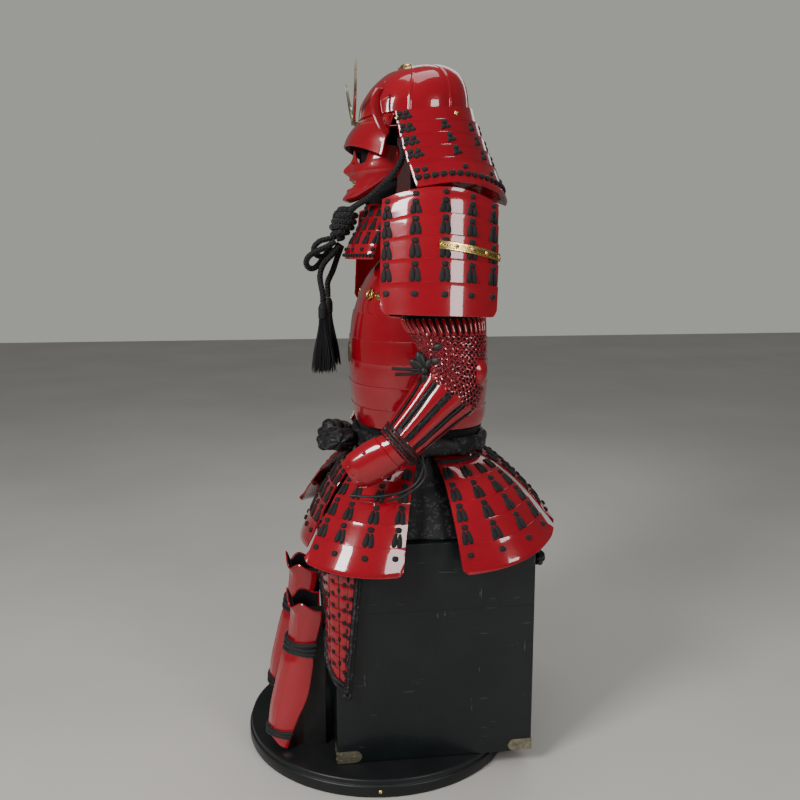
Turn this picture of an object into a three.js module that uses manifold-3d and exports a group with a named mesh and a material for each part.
// Samurai armour displayed seated on its own armour chest, on a round base.
// Millimetres, +Z up, the figure faces -Y and its left side is +X.
// Origin: centre of the round base, on the floor.

import * as THREE from 'three';
import { mergeVertices } from 'three/addons/utils/BufferGeometryUtils.js';
import Module from 'manifold-3d';

const wasm = await Module();
wasm.setup();

// Driving sizes
const seam = 0.35;            // gap between neighbouring pieces
const plate = 2.4;            // lacquered plate
const cloth = 2.0;            // padded brocade
const lameStep = 1.8;         // how far a band stands proud of the one above it

const base = { radius: 290, ring: 24, top: 35, topRadius: 286 };
const chest = { x: 220, front: -109, back: 291, bottom: 35, split: 352, top: 491, wall: 10, lip: 26 };
const helmet = { y: 70, z: 1328, tilt: 6 };
const cordRadius = 5.7;
const leatherRadius = 2.6;

const red = { color: 0xa4141f, roughness: 0.22, metalness: 0.0 };
const darkRed = { color: 0x6d1118, roughness: 0.5, metalness: 0.3 };
const gilt = { color: 0xd9b45a, roughness: 0.3, metalness: 1.0 };
const paleBrass = { color: 0xcdbb8c, roughness: 0.3, metalness: 1.0 };
const blackCord = { color: 0x17171a, roughness: 0.85, metalness: 0.0 };
const brocade = { color: 0x1b1b1f, roughness: 0.7, metalness: 0.0 };
const leather = { color: 0x151516, roughness: 0.55, metalness: 0.0 };
const chestBlack = { color: 0x14181a, roughness: 0.45, metalness: 0.0 };
const wood = { color: 0x2a221c, roughness: 0.7, metalness: 0.0 };

const armour = new THREE.Group();

// Helpers

function vec(x, y, z) {
  return new THREE.Vector3(x, y, z);
}

function place(name, geometry, finish, parent = armour) {
  const mesh = new THREE.Mesh(geometry, new THREE.MeshStandardMaterial(finish));
  mesh.name = name;
  parent.add(mesh);
  return mesh;
}

function spaced(count, from, to) {
  return Array.from({ length: count + 1 }, (_, i) => from + (to - from) * i / count);
}

function smooth(t) {
  const c = Math.min(1, Math.max(0, t));
  return c * c * (3 - 2 * c);
}

// A power that also takes the small negative values next to an edge.
function curve(x, power) {
  return Math.sign(x) * Math.abs(x) ** power;
}

// 1 at the middle, falling to 0 past the width.
function bell(x, width, power = 2) {
  return Math.exp(-(Math.abs(x / width) ** power));
}

// Value at x of a table's column, straight between the rows.
function lookUp(rows, key, x, by = 'z') {
  const last = rows.length - 1;
  let i = 0;
  while (i < last - 1 && x > rows[i + 1][by]) {
    i += 1;
  }
  const t = (x - rows[i][by]) / (rows[i + 1][by] - rows[i][by]);
  return rows[i][key] + (rows[i + 1][key] - rows[i][key]) * t;
}

// Point on a rounded oblong ring: angle 0 is the front (-Y), 90 is +X, 180 is the back.
function ovalPoint(angle, z, front, back, half, power = 2.4) {
  const a = angle * Math.PI / 180;
  const s = Math.sin(a);
  const c = Math.cos(a);
  const middle = (front + back) / 2;
  const depth = (back - front) / 2;
  const x = half * curve(s, 2 / power);
  const y = middle - depth * curve(c, 2 / power);
  return vec(x, y, z);
}

function indexed(points, faces) {
  const geometry = new THREE.BufferGeometry();
  geometry.setAttribute('position', new THREE.Float32BufferAttribute(points.flatMap(p => [p.x, p.y, p.z]), 3));
  geometry.setIndex(faces.flat());
  if (volumeOf(points, faces) < 0) {
    geometry.setIndex(faces.map(([a, b, c]) => [a, c, b]).flat());
  }
  return geometry;
}

function volumeOf(points, faces) {
  return faces.reduce((sum, [a, b, c]) => sum + points[a].dot(points[b].clone().cross(points[c])), 0) / 6;
}

// A closed wall on a surface point(u, v). rows are { v, lift }; lift moves the outer face out.
// The inner face is the plain surface moved in by the thickness, on its own coarser grid.
function wall({ point, across, rows, thickness, core, wrap = false, acrossInside = across,
  rowsInside = rows.map(r => r.v), ripple = () => 0 }) {
  const du = (across.at(-1) - across[0]) * 1e-4;
  const dv = (rows.at(-1).v - rows[0].v) * 1e-4;
  const rawNormal = (u, v) => point(u + du, v).sub(point(u - du, v))
    .cross(point(u, v + dv).sub(point(u, v - dv))).normalize();
  const middleU = across[Math.floor(across.length / 2)];
  const middleV = rows[Math.floor(rows.length / 2)].v;
  const facing = Math.sign(rawNormal(middleU, middleV).dot(point(middleU, middleV).sub(core)));
  const moved = (u, v, out) => point(u, v).addScaledVector(rawNormal(u, v), facing * out);

  const points = [];
  const grid = (us, vs, offset) => vs.map((v, r) => us.map((u, c) => {
    points.push(moved(u, v, offset(u, v, r, c)));
    return points.length - 1;
  }));
  const outer = grid(across, rows.map(r => r.v), (u, v, r) => rows[r].lift + ripple(u, v));
  const inner = grid(acrossInside, rowsInside, () => -thickness);

  const faces = [];
  const skin = (ids, flip) => {
    const columns = ids[0].length;
    for (let r = 0; r < ids.length - 1; r += 1) {
      for (let c = 0; c < columns - (wrap ? 0 : 1); c += 1) {
        const d = (c + 1) % columns;
        const [p, q, s, t] = [ids[r][c], ids[r + 1][c], ids[r + 1][d], ids[r][d]];
        faces.push(flip ? [p, s, q] : [p, q, s], flip ? [p, t, s] : [p, s, t]);
      }
    }
  };
  skin(outer, false);
  skin(inner, true);

  // Joins an outer edge to an inner edge that may have fewer points.
  const zip = (o, q, to, tq) => {
    let i = 0;
    let j = 0;
    while (i < o.length - 1 || j < q.length - 1) {
      const stepOuter = j === q.length - 1 || (i < o.length - 1 && to[i + 1] <= tq[j + 1]);
      if (stepOuter) {
        faces.push([o[i + 1], o[i], q[j]]);
        i += 1;
      } else {
        faces.push([q[j], q[j + 1], o[i]]);
        j += 1;
      }
    }
  };
  const along = (list, from, to) => list.map(x => (x - from) / (to - from));
  const close = list => (wrap ? [...list, list[0]] : list);
  const closeT = list => (wrap ? [...list, 1] : list);
  const span = wrap ? [across[0], across[0] + 360] : [across[0], across.at(-1)];
  const tu = closeT(along(across, ...span));
  const tuInside = closeT(along(acrossInside, ...span));
  const back = list => list.map(x => 1 - x).reverse();
  zip(close(outer.at(-1)), close(inner.at(-1)), tu, tuInside);
  zip([...close(outer[0])].reverse(), [...close(inner[0])].reverse(), back(tu), back(tuInside));
  if (!wrap) {
    const tv = along(rows.map(r => r.v), rows[0].v, rows.at(-1).v);
    const tvInside = along(rowsInside, rows[0].v, rows.at(-1).v);
    zip(outer.map(r => r[0]), inner.map(r => r[0]), tv, tvInside);
    zip(outer.map(r => r.at(-1)).reverse(), inner.map(r => r.at(-1)).reverse(), back(tv), back(tvInside));
  }
  return indexed(points, faces);
}

// Rows for laced bands: each band's top edge stands proud and its lower edge lies flush.
function bandRows(edges, gap, step = lameStep) {
  return edges.slice(0, -1).flatMap((top, i) => [
    { v: i === 0 ? top : top + gap, lift: step },
    { v: edges[i + 1], lift: 0 },
  ]);
}

// A solid from rings of points, closed at both ends with a fan.
function loft(rings) {
  const points = rings.flat();
  const n = rings[0].length;
  const faces = [];
  for (let r = 0; r < rings.length - 1; r += 1) {
    for (let c = 0; c < n; c += 1) {
      const d = (c + 1) % n;
      faces.push([r * n + c, (r + 1) * n + c, (r + 1) * n + d], [r * n + c, (r + 1) * n + d, r * n + d]);
    }
  }
  for (const [first, flip] of [[0, true], [(rings.length - 1) * n, false]]) {
    for (let c = 1; c < n - 1; c += 1) {
      faces.push(flip ? [first, first + c, first + c + 1] : [first, first + c + 1, first + c]);
    }
  }
  return indexed(points, faces);
}

// A closed roll round an oval path: a section of small radii swept all the way round.
function roll(centre, across, upward, count, sides) {
  const points = [];
  for (const angle of spaced(count, 0, 360).slice(0, -1)) {
    const p = centre(angle);
    const out = centre(angle + 0.5).sub(centre(angle - 0.5)).cross(vec(0, 0, 1)).normalize();
    for (const turn of spaced(sides, 0, 2 * Math.PI).slice(0, -1)) {
      points.push(p.clone().addScaledVector(out, across * Math.cos(turn)).add(vec(0, 0, upward * Math.sin(turn))));
    }
  }
  const faces = [];
  for (let r = 0; r < count; r += 1) {
    for (let c = 0; c < sides; c += 1) {
      const [a, b] = [r * sides, ((r + 1) % count) * sides];
      const d = (c + 1) % sides;
      faces.push([a + c, b + c, b + d], [a + c, b + d, a + d]);
    }
  }
  return indexed(points, faces);
}

function round(radius, sides) {
  return new THREE.Shape(spaced(sides, 0, 2 * Math.PI).slice(0, -1)
    .map(a => new THREE.Vector2(radius * Math.cos(a), radius * Math.sin(a))));
}

function cordAlong(list, radius, steps, sides = 8) {
  const path = new THREE.CatmullRomCurve3(list.map(p => vec(...p)), false, 'centripetal');
  return new THREE.ExtrudeGeometry(round(radius, sides), { steps, extrudePath: path, bevelEnabled: false });
}

function block(x0, x1, y0, y1, z0, z1) {
  const box = new THREE.BoxGeometry(x1 - x0, y1 - y0, z1 - z0);
  return box.translate((x0 + x1) / 2, (y0 + y1) / 2, (z0 + z1) / 2);
}

function lathe(profile, sides) {
  const turned = new THREE.LatheGeometry(profile.map(([r, z]) => new THREE.Vector2(r, z)), sides);
  return turned.rotateX(Math.PI / 2);
}

function solid(geometry) {
  const bare = geometry.clone();
  bare.deleteAttribute('normal');
  bare.deleteAttribute('uv');
  const merged = mergeVertices(bare, 1e-4);
  return new wasm.Manifold(new wasm.Mesh({
    numProp: 3,
    vertProperties: new Float32Array(merged.attributes.position.array),
    triVerts: new Uint32Array(merged.index.array),
  }));
}

function fromSolid(body) {
  const mesh = body.getMesh();
  const geometry = new THREE.BufferGeometry();
  geometry.setAttribute('position', new THREE.BufferAttribute(new Float32Array(mesh.vertProperties), 3));
  geometry.setIndex(new THREE.BufferAttribute(new Uint32Array(mesh.triVerts), 1));
  return geometry;
}

function join(list) {
  return list.map(solid).reduce((sum, part) => sum.add(part));
}

// Mirrors a geometry to the other side and keeps its faces outward.
function mirrored(geometry) {
  const copy = geometry.clone().scale(-1, 1, 1);
  const flat = copy.index ? copy.toNonIndexed() : copy;
  const p = flat.attributes.position;
  for (let i = 0; i < p.count; i += 3) {
    const [x, y, z] = [p.getX(i), p.getY(i), p.getZ(i)];
    p.setXYZ(i, p.getX(i + 1), p.getY(i + 1), p.getZ(i + 1));
    p.setXYZ(i + 1, x, y, z);
  }
  return flat;
}

function pair(name, geometry, finish, parent = armour) {
  place(`${name}_left`, geometry, finish, parent);
  place(`${name}_right`, mirrored(geometry), finish, parent);
}

// Round base

function buildBase() {
  const { radius, ring, top, topRadius } = base;
  place('base_disc', lathe([[0, 0], [radius - 4, 0], [radius, 4], [radius, ring - 2], [radius - 2, ring],
    [topRadius, ring], [topRadius, top - 2], [topRadius - 2, top], [0, top]], 36), chestBlack);
}

// Armour chest: a body with an inner lip, and a lid that drops over the lip

function buildChest() {
  const { x, front, back, bottom, split, top, wall: w, lip } = chest;
  const body = join([block(-x, x, front, back, bottom, split),
    block(-x + w + seam, x - w - seam, front + w + seam, back - w - seam, split - 20, split + lip)]);
  const inside = solid(block(-x + w + 8, x - w - 8, front + w + 8, back - w - 8, bottom + 14, split + 80));
  place('chest_body', fromSolid(body.subtract(inside)), chestBlack);

  const lid = solid(block(-x, x, front, back, split + seam, top));
  const room = solid(block(-x + w, x - w, front + w, back - w, split - 40, top - 12));
  place('chest_lid', fromSolid(lid.subtract(room)), chestBlack);
}

// Helmet, in its own tilted group: local origin at the bowl's rim centre

const bowlRows = [
  { v: 0.00, z: -4, front: -107, back: 116, half: 104 },
  { v: 0.22, z: 24, front: -100, back: 116, half: 103 },
  { v: 0.44, z: 47, front: -85, back: 111, half: 96 },
  { v: 0.64, z: 65, front: -68, back: 99, half: 84 },
  { v: 0.82, z: 80, front: -45, back: 74, half: 60 },
  { v: 0.93, z: 86, front: -24, back: 45, half: 35 },
  { v: 1.00, z: 86.5, front: -12, back: 14, half: 13 },
];

function bowlPoint(angle, v) {
  const get = key => lookUp(bowlRows, key, v, 'v');
  const p = ovalPoint(angle, get('z'), get('front'), get('back'), get('half'), 2.25);
  p.z += 0.07 * v * p.y;
  return p;
}

function buildHelmet() {
  const group = new THREE.Group();
  group.position.set(0, helmet.y, helmet.z);
  group.rotation.x = helmet.tilt * Math.PI / 180;
  armour.add(group);

  // Nine plates: a raised seam where two meet and a soft swell between seams.
  const plates = 9;
  const sector = 360 / plates;
  const places = [0, 1.7, 9, 20, 31, 38.3];
  const across = spaced(plates, 0, 360).slice(0, -1).flatMap(a => places.map(d => a + d));
  const swell = (angle, v) => {
    const d = ((angle % sector) + sector) % sector;
    const seamRise = Math.min(d, sector - d) < 1 ? 1.8 : 0;
    return (seamRise + 2.2 * Math.sin(Math.PI * d / sector)) * (1 - 0.75 * v);
  };
  place('helmet_bowl', wall({
    point: bowlPoint, across, rows: bowlRows.map(r => ({ v: r.v, lift: 0 })), thickness: plate,
    core: vec(0, 5, 20), wrap: true, acrossInside: spaced(18, 0, 360).slice(0, -1),
    rowsInside: [0, 0.44, 0.64, 0.82, 0.93, 1], ripple: swell,
  }), red, group);

  // Peak: from the front of the rim down and out to a drooping edge.
  const peakEdge = [
    { a: 0, x: 0, y: -144, z: -51 },
    { a: 22, x: 46, y: -136, z: -54 },
    { a: 45, x: 84, y: -113, z: -66 },
    { a: 66, x: 111, y: -82, z: -84 },
  ];
  const peakPoint = (angle, v) => {
    const a = Math.abs(angle);
    const top = bowlPoint(a, 0).add(vec(0, 0, -seam));
    const low = vec(lookUp(peakEdge, 'x', a, 'a'), lookUp(peakEdge, 'y', a, 'a'), lookUp(peakEdge, 'z', a, 'a'));
    const p = top.lerp(low, v);
    p.addScaledVector(vec(p.x, p.y, 0).normalize(), 6 * Math.sin(Math.PI * v));
    p.x *= Math.sign(angle) || 1;
    return p;
  };
  place('helmet_peak', wall({
    point: peakPoint, across: spaced(16, -66, 66), rows: spaced(4, 0, 1).map(v => ({ v, lift: 0 })),
    thickness: plate, core: vec(0, 0, 0), acrossInside: spaced(8, -66, 66), rowsInside: [0, 0.5, 1],
  }), red, group);

  // Turn-back: an ear of plate that grows out of the rim beside the peak.
  const earPoint = (u, v) => {
    const z = -44 + 90 * v;
    const root = vec(113 - 12 * smooth((z + 4) / 50), -54 - 10 * v, z);
    const reach = curve(Math.sin(Math.PI * (0.14 + 0.76 * v)), 0.8);
    return root.add(vec(34 * reach * u, (-30 * u + 12 * u * u) * reach, 8 * u * v));
  };
  pair('turnback', wall({
    point: earPoint, across: spaced(4, 0, 1), rows: spaced(7, 0, 1).map(v => ({ v, lift: 0 })),
    thickness: plate, core: vec(120, 40, 0),
  }), red, group);

  // Neck guard: a plain band and four laced bands, flaring to the back.
  const neckEdge = [
    { a: 60, r: 160, z: -154 },
    { a: 80, r: 160, z: -153 },
    { a: 110, r: 172, z: -152 },
    { a: 145, r: 177, z: -176 },
    { a: 180, r: 183, z: -200 },
  ];
  const neckPoint = (u, v) => {
    const startAngle = 64 + 16 * v;
    const angle = startAngle + (180 - startAngle) * (1 - Math.abs(u));
    const rim = bowlPoint(angle, 0);
    const rimRadius = Math.hypot(rim.x, rim.y) + 4.5;
    const r = rimRadius + (lookUp(neckEdge, 'r', angle, 'a') - rimRadius) * curve(v, 1.08);
    const z = (-4 - seam) * (1 - v) + lookUp(neckEdge, 'z', angle, 'a') * v;
    const a = angle * Math.PI / 180;
    return vec(-Math.sign(u || 1) * r * Math.sin(a), -r * Math.cos(a), z);
  };
  place('neck_guard', wall({
    point: neckPoint, across: spaced(24, -1, 1), rows: bandRows([0, 0.16, 0.33, 0.5, 0.67, 1], 0.004, 2.2),
    thickness: plate, core: vec(0, 0, -80), acrossInside: spaced(12, -1, 1), rowsInside: [0, 0.33, 0.67, 1],
  }), red, group);

  // Forecrest: two thin horns that rise from a socket on the front plate.
  const horn = new THREE.Shape();
  horn.moveTo(1, -8);
  horn.quadraticCurveTo(62, 4, 124, 92);
  horn.quadraticCurveTo(56, 24, 1, 14);
  horn.closePath();
  const blade = new THREE.ExtrudeGeometry(horn, { depth: 2.2, bevelEnabled: false, curveSegments: 7 });
  blade.rotateX(Math.PI / 2 - 0.05);
  const socket = block(-7, 7, -5, 2, -11, 15);
  const crest = join([blade, mirrored(blade), socket]);
  const standing = fromSolid(crest).translate(0, -117, 1);
  const bracket = block(-5, 5, -117, -108, -12, -5);
  const brow = solid(wall({
    point: peakPoint, across: spaced(16, -66, 66), rows: spaced(4, 0, 1).map(v => ({ v, lift: seam })),
    thickness: 14, core: vec(0, 0, 0),
  }));
  const crestGeometry = fromSolid(largest(join([standing, bracket]).subtract(brow)));
  place('crest_horns', crestGeometry, paleBrass, group);

  // Crown ornament: stepped gilt ring over the hole in the top.
  const ornament = lathe([[8, 0], [19, 0], [17, 3], [14, 4], [13, 7], [8, 8], [8, 0]], 16);
  ornament.translate(0, 1, 88.9);
  place('crown_ornament', ornament, gilt, group);
}

// Face mask: a hollow half mask of nose, cheeks and chin

const maskRows = [
  { z: 1151, nose: -56, back: 4, half: 50 },
  { z: 1157, nose: -71, back: 12, half: 58 },
  { z: 1168, nose: -65, back: 22, half: 68 },
  { z: 1180, nose: -57, back: 34, half: 76 },
  { z: 1193, nose: -52, back: 42, half: 81 },
  { z: 1204, nose: -53, back: 45, half: 83 },
  { z: 1212, nose: -58, back: 45, half: 84 },
  { z: 1228, nose: -56, back: 44, half: 84 },
  { z: 1236, nose: -54, back: 43, half: 84 },
  { z: 1250, nose: -50, back: 40, half: 82 },
  { z: 1266, nose: -47, back: 38, half: 80 },
];

function maskPoint(u, z) {
  const nose = lookUp(maskRows, 'nose', z);
  const back = lookUp(maskRows, 'back', z);
  const half = lookUp(maskRows, 'half', z);
  const a = u * Math.PI / 2;
  const x = half * Math.sin(a);
  const y = back - (back - nose) * Math.cos(a) ** 0.85;
  const noseRise = 16 * bell(z - 1217, 13) * bell(x, 13);
  const cheek = 5 * bell(z - 1205, 14) * bell(Math.abs(x) - 46, 16);
  const mouth = -9 * bell(z - 1187, 6) * bell(x, 24, 4);
  return vec(x, y - noseRise - cheek - mouth, z);
}

// How far the mask's top edge dips: under each eye, and a little over the nose.
function eyeDrop(u) {
  const eye = 38 * bell(Math.abs(u) - 0.34, 0.2, 4);
  return eye + 12 * bell(u, 0.12);
}

function buildMask() {
  const half = [0.07, 0.15, 0.25, 0.38, 0.52, 0.7, 0.98];
  const across = [...half.map(u => -u).reverse(), 0, ...half];
  const levels = [1151, 1157, 1168, 1180, 1187, 1195, 1205, 1216, 1226, 1238, 1252, 1266];
  const low = (u, v) => {
    const p = maskPoint(u, v);
    p.z += 26 * Math.abs(u) ** 2.2 * (1 - (v - 1151) / 85);
    p.z -= eyeDrop(u) * smooth((v - 1222) / 36);
    return p;
  };
  place('face_mask', wall({
    point: low, across, rows: levels.map(v => ({ v, lift: 0 })), thickness: 2.0, core: vec(0, 30, 1190),
    acrossInside: [-0.98, -0.7, -0.38, -0.15, 0, 0.15, 0.38, 0.7, 0.98],
    rowsInside: [1151, 1168, 1187, 1205, 1224, 1266],
  }), red);
}

// Throat guard: four laced bands that hang below the chin and flare forward

const throatRows = [
  { z: 1038, front: -67, side: -14, half: 99 },
  { z: 1049, front: -68, side: -12, half: 98 },
  { z: 1095, front: -43, side: 6, half: 82 },
  { z: 1129, front: -25, side: 26, half: 66 },
  { z: 1148, front: -22, side: 38, half: 52 },
];

function throatPoint(u, z) {
  const a = u * Math.PI / 2;
  const front = lookUp(throatRows, 'front', z);
  const side = lookUp(throatRows, 'side', z);
  return vec(lookUp(throatRows, 'half', z) * Math.sin(a), side - (side - front) * Math.cos(a), z);
}

function buildThroatGuard() {
  place('throat_guard', wall({
    point: throatPoint, across: spaced(12, -0.96, 0.96), rows: bandRows([1148, 1122, 1095, 1068, 1038], -0.7),
    thickness: plate, core: vec(0, 60, 1090), acrossInside: spaced(8, -0.96, 0.96),
    rowsInside: [1148, 1129, 1095, 1049, 1038],
  }), red);
}

// Cuirass

const trunkRows = [
  { z: 640, front: -16, back: 184, half: 128 },
  { z: 700, front: -46, back: 222, half: 150 },
  { z: 741, front: -54, back: 226, half: 158 },
  { z: 788, front: -58, back: 228, half: 165 },
  { z: 834, front: -59, back: 228, half: 168 },
  { z: 880, front: -57, back: 226, half: 168 },
  { z: 932, front: -48, back: 222, half: 164 },
  { z: 995, front: -24, back: 212, half: 156 },
  { z: 1046, front: 10, back: 198, half: 148 },
];

function trunkPoint(angle, z, out = 0) {
  const get = key => lookUp(trunkRows, key, z);
  return ovalPoint(angle, z, get('front') - out, get('back') + out, get('half') + out);
}

const shell = { arm: 925, top: 1046, ledge: 4 };
const shoulderTop = 1106;

// The top edge drops from the breast to the armhole.
function shellPoint(angle, v) {
  const fromMiddle = Math.min(Math.abs(angle), Math.abs(180 - angle));
  const rise = (shell.top - shell.arm - shell.ledge) * (1 - smooth((fromMiddle - 34) / 26)) + shell.ledge;
  const z = v <= shell.arm ? v : shell.arm + (v - shell.arm) / (shell.top - shell.arm) * rise;
  return trunkPoint(angle, z);
}

function buildCuirass() {
  const bands = [1046, 985, 932, 880, 834, 788, 741, 700];
  const edges = [932, 880, 834, 788, 741, 700];
  const rows = [{ v: bands[0], lift: 0 }, { v: 1010, lift: 0 }, { v: bands[1], lift: 0 }, { v: 955, lift: 0 },
    { v: 932, lift: 0 }, ...bandRows(edges, -0.7, 1.5).map((r, i) => (i === 0 ? { v: 931.3, lift: 1.5 } : r))];
  const inside = [1046, 1010, 985, 955, 932, 834, 741, 700];
  const stops = [0, 12, 24, 32, 38, 46, 54, 62, 71, 80, 90];
  const stopsInside = [0, 16, 32, 46, 60, 75, 90];
  const both = list => [...list.slice(1).map(a => -a).reverse(), ...list];
  for (const [name, centre, shift] of [['front', 0, -seam], ['back', 180, seam]]) {
    const geometry = wall({
      point: (angle, v) => shellPoint(angle, v), across: both(stops).map(a => a + centre), rows, thickness: plate,
      core: vec(0, 90, 830), acrossInside: both(stopsInside).map(a => a + centre), rowsInside: inside,
    });
    geometry.translate(0, shift, 0);
    place(`cuirass_${name}`, geometry, red);
  }

  // Shoulder straps, from the breast's top edge over the shoulder bar to the back.
  const strap = [
    { t: 0, y: 26, z: shell.top + 1.6 },
    { t: 0.2, y: 44, z: 1084 },
    { t: 0.4, y: 74, z: shoulderTop },
    { t: 0.6, y: 116, z: shoulderTop },
    { t: 0.8, y: 152, z: 1090 },
    { t: 1, y: 183, z: shell.top + 1.6 },
  ];
  const strapPoint = (u, t) => {
    const x = 84 + 23 * u;
    const frontY = trunkPoint(Math.abs(angleAtX(x, 1046)), 1046).y;
    const shift = (frontY - 26) * (1 - t) + (208 - frontY - 183) * t;
    return vec(x, lookUp(strap, 'y', t, 't') + shift, lookUp(strap, 'z', t, 't'));
  };
  pair('strap', wall({
    point: strapPoint, across: [-1, 0, 1], rows: spaced(10, 0, 1).map(v => ({ v, lift: 0 })), thickness: plate,
    core: vec(84, 95, 1040),
  }), red);
}

// Angle on the trunk's oval where x is reached, on the front.
function angleAtX(x, z) {
  const half = lookUp(trunkRows, 'half', z);
  return Math.asin(Math.min(1, (Math.abs(x) / half)) ** 1.2) * 180 / Math.PI * Math.sign(x || 1);
}

// Shoulder guards

const guardRows = [
  { z: 940, x: 309, sag: 40, front: -26, back: 190, droop: 2 },
  { z: 1042, x: 292, sag: 40, front: -23, back: 195, droop: 10 },
  { z: 1150, x: 273, sag: 40, front: -18, back: 198, droop: 24 },
  { z: 1166, x: 268, sag: 42, front: -15, back: 198, droop: 26 },
];

function guardPoint(u, z) {
  const get = key => lookUp(guardRows, key, z);
  const y = (get('front') + get('back')) / 2 + (get('back') - get('front')) / 2 * u;
  return vec(get('x') - get('sag') * u * u, y, z - get('droop') * u * u - 4 * u);
}

function buildShoulderGuards() {
  const edges = [1150, 1122, 1084, 1042, 1000, 940];
  const rows = [{ v: 1166, lift: 2.5 }, ...bandRows(edges, -0.8, 2)];
  pair('shoulder_guard', wall({
    point: guardPoint, across: spaced(12, -1, 1), rows, thickness: plate, core: vec(150, 90, 1050),
    acrossInside: spaced(8, -1, 1), rowsInside: [1166, 1122, 1042, 940],
  }), red);

  // Pierced gilt bar across the third band, made from the guard's own points moved out.
  const barPoint = (u, v) => guardPoint(u, 1064 + v - 8 * u);
  pair('gilt_bar', wall({
    point: (u, v) => {
      const p = barPoint(u, v);
      const q = barPoint(u + 0.01, v).sub(barPoint(u - 0.01, v));
      return p.addScaledVector(vec(q.y, -q.x, 0).normalize(), 4.4);
    },
    across: spaced(6, -0.08, 1.0), rows: [{ v: 7.5, lift: 0 }, { v: -7.5, lift: 0 }], thickness: 1.6,
    core: vec(150, 90, 1050),
  }), gilt);

  // Hanging cord between the guard's top and the shoulder strap.
  pair('shoulder_cord', cordAlong([[106, 95, 1110.4], [128, 95, 1117], [205, 95, 1144], [266.8, 95, 1150]],
    4, 8), blackCord);
}

// Sleeves: sections down the arm. turn tips the section's back edge down as the arm bends.

const armRows = [
  { t: 0, x: 205, y: 96, z: 1075, across: 36, deep: 60, turn: 0 },
  { t: 1, x: 207, y: 98, z: 1000, across: 41, deep: 72, turn: 0 },
  { t: 2, x: 212, y: 100, z: 930, across: 43, deep: 77, turn: 0 },
  { t: 3, x: 218, y: 113, z: 885, across: 45, deep: 66, turn: -4 },
  { t: 4, x: 223, y: 117, z: 846, across: 45, deep: 60, turn: -14 },
  { t: 5, x: 227, y: 112, z: 802, across: 44, deep: 62, turn: -36 },
  { t: 6, x: 231, y: 82, z: 768, across: 42, deep: 53, turn: -44 },
  { t: 7, x: 234, y: 45, z: 729, across: 38, deep: 44, turn: -47 },
  { t: 8, x: 236, y: 6, z: 688, across: 33, deep: 37, turn: -50 },
];

// How far back the wrist of each arm sits: the right arm hangs further back.
const swings = { left: 0, right: 52 };

function armPoint(angle, t, swing = 0) {
  const get = key => lookUp(armRows, key, t, 't');
  const a = angle * Math.PI / 180;
  const turn = get('turn') * Math.PI / 180;
  const deep = -get('deep') * Math.cos(a);
  const back = swing * smooth((t - 2) / 6);
  return vec(get('x') + get('across') * Math.sin(a), get('y') + back + deep * Math.cos(turn),
    get('z') + deep * Math.sin(turn));
}

// The same piece for both arms, each with its own swing.
function eachArm(name, shape, finish) {
  place(`${name}_left`, shape(swings.left), finish);
  place(`${name}_right`, mirrored(shape(swings.right)), finish);
}

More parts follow.
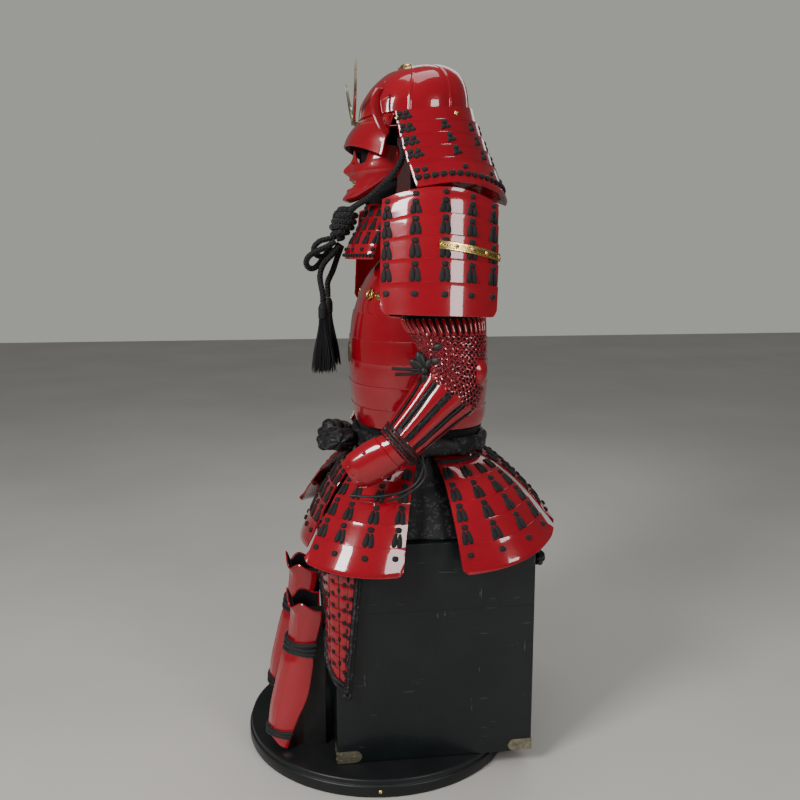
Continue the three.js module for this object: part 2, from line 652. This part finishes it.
function buildSleeves() {
  const elbow = 5;
  eachArm('sleeve_upper', swing => wall({
    point: (angle, t) => armPoint(angle, t, swing), across: spaced(18, 0, 360).slice(0, -1),
    rows: [0, 1, 2, 3, 4, elbow].map(v => ({ v, lift: 0 })), thickness: cloth, core: vec(215, 105, 930),
    wrap: true, acrossInside: spaced(12, 0, 360).slice(0, -1),
  }), darkRed);

  // Forearm: six splints raised on the outer half of the sleeve.
  const splints = 6;
  const firstSplint = -8;
  const splintSpan = 33;
  const ribAngles = Array.from({ length: splints }, (_, i) => firstSplint + i * splintSpan);
  const columns = ribAngles.flatMap(a => [a, a + 3, a + 22, a + 25]);
  const underside = [205, 235, 265, 295, 325];
  const isSplint = angle => ribAngles.some(a => angle > a + 1 && angle < a + 24);
  eachArm('sleeve_lower', swing => wall({
    point: (angle, t) => armPoint(angle, t, swing), across: [...columns, ...underside],
    rows: [elbow + 0.03, 6, 7, 8].map(v => ({ v, lift: 0 })), thickness: cloth, core: vec(232, 50, 740),
    wrap: true, acrossInside: spaced(12, -8, 352).slice(0, -1), ripple: angle => (isSplint(angle) ? 3 : 0),
  }), red);

  // Elbow plate: a small dome on the outer back of the elbow.
  const domePoint = (u, v, swing) => {
    const t = 4 + 0.42 * v;
    const p = armPoint(146 + 19 * u, t, swing);
    const centre = armPoint(0, t, swing).add(armPoint(180, t, swing)).multiplyScalar(0.5);
    const out = p.clone().sub(centre).normalize();
    return p.addScaledVector(out, 4.2 + 8 * (1 - Math.min(1, u * u + v * v)));
  };
  eachArm('elbow_plate', swing => wall({
    point: (u, v) => domePoint(u, v, swing), across: spaced(4, -1, 1), rows: spaced(4, -1, 1).map(v => ({ v, lift: 0 })),
    thickness: 2, core: vec(200, 90, 850),
  }), red);

  // Hand guard: a domed plate over the back of the hand.
  const wrist = armRows.at(-1);
  const knuckles = { x: 222, y: -78, z: 634 };
  const handPoint = (angle, t, swing) => {
    const a = angle * Math.PI / 180;
    const tip = (50 + 8 * t) * Math.PI / 180;
    const radius = 37 + 4 * Math.sin(Math.PI * t) - 3 * t;
    const flat = 33 - 8 * t;
    const x = wrist.x + (knuckles.x - wrist.x) * t + flat * Math.cos(a);
    const y = wrist.y + swing - 0.9 + (knuckles.y - wrist.y) * t - Math.cos(tip) * radius * Math.sin(a);
    const z = wrist.z - 0.9 + (knuckles.z - wrist.z) * t + Math.sin(tip) * radius * Math.sin(a);
    return vec(x, y, z);
  };
  eachArm('hand_guard', swing => wall({
    point: (angle, t) => handPoint(angle, t, swing), across: spaced(10, -84, 84),
    rows: [0, 0.16, 0.17, 0.5, 0.84, 0.85, 1].map((v, i) => ({ v, lift: [0, 0, 2, 2, 2, 0, 0][i] })),
    thickness: 2, core: vec(225, -40, 655), acrossInside: spaced(6, -84, 84), rowsInside: [0, 0.5, 1],
  }), red);

  // Leather ties that trail from the wrist.
  const ties = {
    wrist_tie: [[236, 57, 672], [242, 59, 648], [243, 46, 620], [243, 18, 603], [240, -17, 596],
      [232, -50, 594], [221, -80, 594]],
  };
  for (const [name, route] of Object.entries(ties)) {
    eachArm(name, swing => cordAlong(route.map(([x, y, z]) => [x, y + swing, z]), leatherRadius, 10), leather);
  }
}

// Waist: lacing band, sash and its bow, cloth down to the chest lid

const sash = { z: 668, out: 11, thick: 11, high: 18 };

function sashCentre(angle) {
  const p = trunkPoint(angle, 676, sash.out);
  p.z = sash.z + 4 * Math.cos(angle * Math.PI / 180);
  return p;
}

const skirtCloth = { top: 645, foot: chest.top + 1.4, half: 202, front: -101, back: 272 };

function waistClothPoint(angle, z) {
  const t = (skirtCloth.top - z) / (skirtCloth.top - skirtCloth.foot);
  const upper = trunkPoint(angle, 645, -8);
  const lower = ovalPoint(angle, z, skirtCloth.front, skirtCloth.back, skirtCloth.half, 3);
  const p = upper.lerp(lower, curve(t, 0.9));
  const fold = 3.5 * Math.cos(angle * Math.PI / 180 * 11) * t;
  p.addScaledVector(vec(p.x, p.y - 90, 0).normalize(), fold);
  p.z = z;
  return p;
}

function buildWaist() {
  place('waist_lacing', wall({
    point: (angle, z) => trunkPoint(angle, z, -4), across: spaced(40, 0, 360).slice(0, -1),
    rows: [{ v: 700 - seam, lift: 0 }, { v: 675, lift: 0 }, { v: 650, lift: 0 }], thickness: cloth,
    core: vec(0, 90, 675), wrap: true, acrossInside: spaced(20, 0, 360).slice(0, -1),
  }), blackCord);

  place('sash_roll', roll(sashCentre, sash.thick, sash.high, 28, 8), brocade);

  const lobe = (x, y, z, rx, ry, rz) => new THREE.SphereGeometry(1, 10, 6).scale(rx, ry, rz).translate(x, y, z);
  const bow = join([lobe(50, -88, 668, 40, 42, 26), lobe(-44, -88, 666, 40, 40, 25),
    lobe(4, -98, 682, 24, 26, 22), lobe(14, -112, 656, 20, 22, 20)]);
  const clearance = 0.5;
  const clear = solid(roll(sashCentre, sash.thick + clearance, sash.high + clearance, 28, 8));
  const trimmed = bow.subtract(clear).subtract(solid(loft([640, 730].map(z =>
    spaced(36, 0, 360).slice(0, -1).map(angle => trunkPoint(angle, z < 700 ? 650 : 700, sash.out).setZ(z))))));
  place('sash_bow', fromSolid(largest(trimmed)), brocade);

  place('waist_cloth', wall({
    point: waistClothPoint, across: spaced(44, 0, 360).slice(0, -1),
    rows: [645, 570, skirtCloth.foot].map(v => ({ v, lift: 0 })), thickness: cloth,
    core: vec(0, 90, 570), wrap: true, acrossInside: spaced(44, 0, 360).slice(0, -1),
  }), brocade);
}

function largest(body) {
  return body.decompose().reduce((best, part) => (part.volume() > best.volume() ? part : best));
}

// Skirt panels: top edge on the waist, lower edge on a wider flare

const panels = [
  { name: 'front', a: -17, b: 17, left: [-88, -158, 446], right: [88, -158, 446], bulge: 14 },
  { name: 'side', a: 22, b: 84, left: [214, -168, 462], right: [278, 16, 446], bulge: 37 },
  { name: 'hip', a: 94, b: 146, left: [268, 134, 440], right: [196, 334, 494], bulge: 46 },
  { name: 'back', a: 152, b: 178, left: [158, 346, 500], right: [8, 362, 494], bulge: 8 },
];

const panelTop = 643;
const panelFlare = 0.55;

// The panels leave the waist almost level and then hang steeper, as over a lap.
function panelPoint(panel, u, v) {
  const angle = panel.a + (panel.b - panel.a) * u;
  const top = trunkPoint(angle, 645, -4.6).setZ(panelTop);
  const left = vec(...panel.left);
  const right = vec(...panel.right);
  const low = left.clone().lerp(right, u);
  const out = vec(right.y - left.y, left.x - right.x, 0).normalize();
  low.addScaledVector(out, panel.bulge * 4 * u * (1 - u));
  const flare = curve(v, panelFlare);
  return vec(top.x + (low.x - top.x) * flare, top.y + (low.y - top.y) * flare, top.z + (low.z - top.z) * v);
}

function buildSkirt() {
  const edges = [0, 0.18, 0.36, 0.54, 0.74, 1];
  for (const panel of panels) {
    const geometry = wall({
      point: (u, v) => panelPoint(panel, u, v), across: spaced(7, 0, 1), rows: bandRows(edges, 0.004),
      thickness: plate, core: vec(0, 90, 560), rowsInside: [0, 0.36, 0.74, 1],
    });
    if (panel.name === 'front') {
      place('skirt_panel_front', geometry, red);
    } else {
      pair(`skirt_panel_${panel.name}`, geometry, red);
    }
  }
}

// Thigh apron: hangs from the waist cloth, over the chest's front edge and round its corner

const apronRows = [
  { u: 0, x: 235, y: -52, low: 184 },
  { u: 0.2, x: 234, y: -92, low: 200 },
  { u: 0.28, x: 231, y: -110, low: 214 },
  { u: 0.36, x: 220, y: -121, low: 236 },
  { u: 0.5, x: 186, y: -124, low: 272 },
  { u: 1, x: 8, y: -124, low: 330 },
];

function apronPoint(u, v) {
  const get = key => lookUp(apronRows, key, u, 'u');
  const top = 552;
  const z = top + (get('low') - top) * v;
  const slant = -34 * v * smooth((0.24 - u) / 0.24);
  const hang = vec(get('x'), get('y') + slant, z);
  const angle = Math.atan2(hang.x, 90 - hang.y) * 180 / Math.PI;
  const onCloth = waistClothPoint(angle, Math.max(z, 500));
  const away = vec(onCloth.x, onCloth.y - 90, 0).normalize();
  onCloth.addScaledVector(away, cloth + 5 + 14 * smooth((552 - z) / 60));
  return onCloth.lerp(hang, smooth((547 - z) / 45)).setZ(z);
}

function buildApron() {
  const edges = spaced(9, 0, 1);
  pair('apron', wall({
    point: apronPoint, across: [0, 0.1, 0.2, 0.28, 0.36, 0.43, 0.5, 0.62, 0.74, 0.87, 1],
    rows: bandRows(edges, 0.004, 1.4), thickness: cloth, core: vec(0, 90, 400),
    acrossInside: [0, 0.2, 0.28, 0.36, 0.43, 0.5, 0.62, 0.74, 0.87, 1],
    rowsInside: [0, 1 / 9, 2 / 9, 1 / 3, 5 / 9, 1],
  }), red);
}

// Shin guards, each leaning on its own padded post

const shinRows = [
  { z: 38, front: -246, side: -206, half: 42 },
  { z: 100, front: -241, side: -184, half: 46 },
  { z: 150, front: -232, side: -162, half: 47 },
  { z: 216, front: -216, side: -149, half: 45 },
  { z: 250, front: -203, side: -147, half: 42 },
  { z: 325, front: -194, side: -131, half: 50 },
  { z: 350, front: -204, side: -129, half: 54 },
];

const shinX = 112;

function shinPoint(u, z) {
  const a = u * Math.PI / 2;
  const front = lookUp(shinRows, 'front', z);
  const side = lookUp(shinRows, 'side', z);
  const t = (z - 38) / (350 - 38);
  const lobe = 36 * bell(u, 0.16) + 16 * bell(Math.abs(u) - 0.6, 0.2);
  const arch = 34 * Math.cos(a) ** 2;
  const rise = arch * (1 - t) ** 4 + (lobe - 12) * t ** 4;
  return vec(shinX + lookUp(shinRows, 'half', z) * Math.sin(a),
    side - (side - front) * Math.cos(a) ** 0.9, z + rise);
}

function buildShins() {
  const ridges = u => 1.6 * bell(u, 0.035) + 1.2 * bell(Math.abs(u) - 0.45, 0.04);
  const half = [0.05, 0.13, 0.24, 0.36, 0.45, 0.54, 0.68, 0.82, 0.97];
  const across = [...half.map(u => -u).reverse(), 0, ...half];
  pair('shin_guard', wall({
    point: shinPoint, across, rows: [38, 70, 110, 158, 216, 250, 290, 325, 350].map(v => ({ v, lift: 0 })),
    thickness: plate, core: vec(shinX, -150, 200), acrossInside: [-0.97, -0.6, -0.3, 0, 0.3, 0.6, 0.97],
    rowsInside: [38, 110, 216, 290, 350], ripple: u => ridges(u),
  }), red);

  const post = { half: 28, top: 318, back: -128, foot: -174 };
  const touch = Math.asin(post.half / lookUp(shinRows, 'half', post.top)) * 2 / Math.PI;
  const lean = shinPoint(touch, post.top).y + plate * 1.35 + seam;
  const side = new THREE.Shape([[post.foot, base.top], [post.back, base.top], [post.back, post.top],
    [lean, post.top]].map(([y, z]) => new THREE.Vector2(y, z)));
  const prop = new THREE.ExtrudeGeometry(side, { depth: 2 * post.half, bevelEnabled: false });
  prop.rotateX(Math.PI / 2);
  prop.rotateZ(Math.PI / 2);
  prop.translate(shinX - post.half, 0, 0);
  pair('stand_shin', prop, leather);
}

// Inner stand: post on the lid, shoulder bar, and a dome that carries the helmet

function buildStand() {
  const post = block(-18, 18, 72, 108, chest.top, 1300);
  const bar = block(-150, 150, 80, 110, 1070, shoulderTop - plate - seam);
  place('stand_post', fromSolid(join([post, bar])), wood);

  const levels = [0.7, 0.8, 0.88, 0.95];
  const rings = levels.map(v => spaced(20, 0, 360).slice(0, -1).map(angle => {
    const p = bowlPoint(angle, v);
    const shrink = (Math.hypot(p.x, p.y) - plate - 2.6) / Math.hypot(p.x, p.y);
    return vec(p.x * shrink, p.y * shrink, p.z - plate - 2.0);
  }));
  const under = rings[0].map(p => vec(p.x * 0.5, p.y * 0.5, p.z - 36));
  const dome = loft([under, ...rings]);
  dome.rotateX(helmet.tilt * Math.PI / 180);
  dome.translate(0, helmet.y, helmet.z);
  const socket = solid(block(-18 - seam, 18 + seam, 72 - seam, 108 + seam, 1200, 1300 + seam));
  place('stand_head', fromSolid(solid(dome).subtract(socket)), wood);
}

// Chin cord, its wrapped knot, the loops and the two tassels

const cords = {
  chin_cord_left: [[97, 42, 1262], [100, 38, 1230], [98, 20, 1201], [84, -3, 1177], [64, -25, 1158],
    [40, -46, 1145], [26, -56, 1136]],
  chin_cord_right: [[-97, 42, 1262], [-100, 38, 1230], [-98, 20, 1201], [-84, -3, 1177], [-64, -25, 1158],
    [-40, -46, 1145], [-26, -56, 1136]],
  cord_loop: [[14, -88, 1074], [15, -106, 1063], [15, -126, 1054], [12, -142, 1044], [4, -148, 1031],
    [-6, -142, 1020], [-11, -130, 1020], [-13, -116, 1034], [-13, -96, 1064]],
  cord_tail_left: [[8, -80, 1066], [7, -94, 1048], [3, -112, 1028], [2, -120, 1002], [9, -115, 966],
    [9, -115, 949]],
  cord_tail_right: [[-5, -74, 1066], [-10, -82, 1044], [-20, -92, 1014], [-34, -102, 990], [-38, -102, 974],
    [-38, -102, 958]],
};

const cordSteps = { cord: 10, loop: 14, tail: 7 };

const knot = { top: [0, -56, 1141], tip: [0, -83, 1082], radius: 22, wraps: 4 };

function buildCords() {
  for (const [name, route] of Object.entries(cords)) {
    place(name, cordAlong(route, cordRadius, cordSteps[name.split('_')[1]]), blackCord);
  }

  const from = vec(...knot.top);
  const along = vec(...knot.tip).sub(from);
  const length = along.length();
  const profile = [[0, 0]];
  for (let i = 0; i < knot.wraps; i += 1) {
    const z = length * i / knot.wraps;
    const step = length / knot.wraps;
    profile.push([knot.radius - 5, z + 0.4], [knot.radius, z + step * 0.3], [knot.radius, z + step * 0.7]);
  }
  profile.push([knot.radius - 6, length], [0, length]);
  const barrel = lathe(profile, 12);
  barrel.applyQuaternion(new THREE.Quaternion().setFromUnitVectors(vec(0, 0, 1), along.normalize()));
  barrel.translate(from.x, from.y, from.z);
  place('cord_knot', barrel, blackCord);
}

function tassel(x, y, top, length) {
  const headLength = 34;
  const headRadius = 9;
  const lockCount = 22;
  const skirtRadius = 23;
  const head = lathe([[0, -headLength], [headRadius, -headLength], [headRadius + 1, -headLength + 8],
    [headRadius - 1, -headLength + 14], [headRadius, -headLength + 22], [6, 0], [0, 0]], 12);
  const parts = [head];
  for (let i = 0; i < lockCount; i += 1) {
    const reach = Math.sqrt((i + 0.5) / lockCount);
    const a = i * 2.39996;
    const sections = [[0.86, -headLength + 3, 0.9], [1.5, -headLength - 28, 1.6], [2.35, -length, 2.3]];
    const rings = sections.map(([spread, z, thick]) => [0, 1, 2].map(k => {
      const r = reach * Math.min(headRadius * spread, skirtRadius) * (z < -length + 1 ? 1.05 : 1);
      const turn = a + k * 2 * Math.PI / 3;
      return vec(r * Math.cos(a) + thick * Math.cos(turn), r * Math.sin(a) + thick * Math.sin(turn), z);
    }));
    parts.push(loft(rings));
  }
  const body = fromSolid(join(parts));
  return body.translate(x, y, top);
}

function buildTassels() {
  place('tassel_left', tassel(9, -115, 949 - seam, 150), blackCord);
  place('tassel_right', tassel(-38, -102, 958 - seam, 150), blackCord);
}

buildBase();
buildChest();
buildStand();
buildHelmet();
buildMask();
buildThroatGuard();
buildCuirass();
buildShoulderGuards();
buildSleeves();
buildWaist();
buildSkirt();
buildApron();
buildShins();
buildCords();
buildTassels();

export default armour;
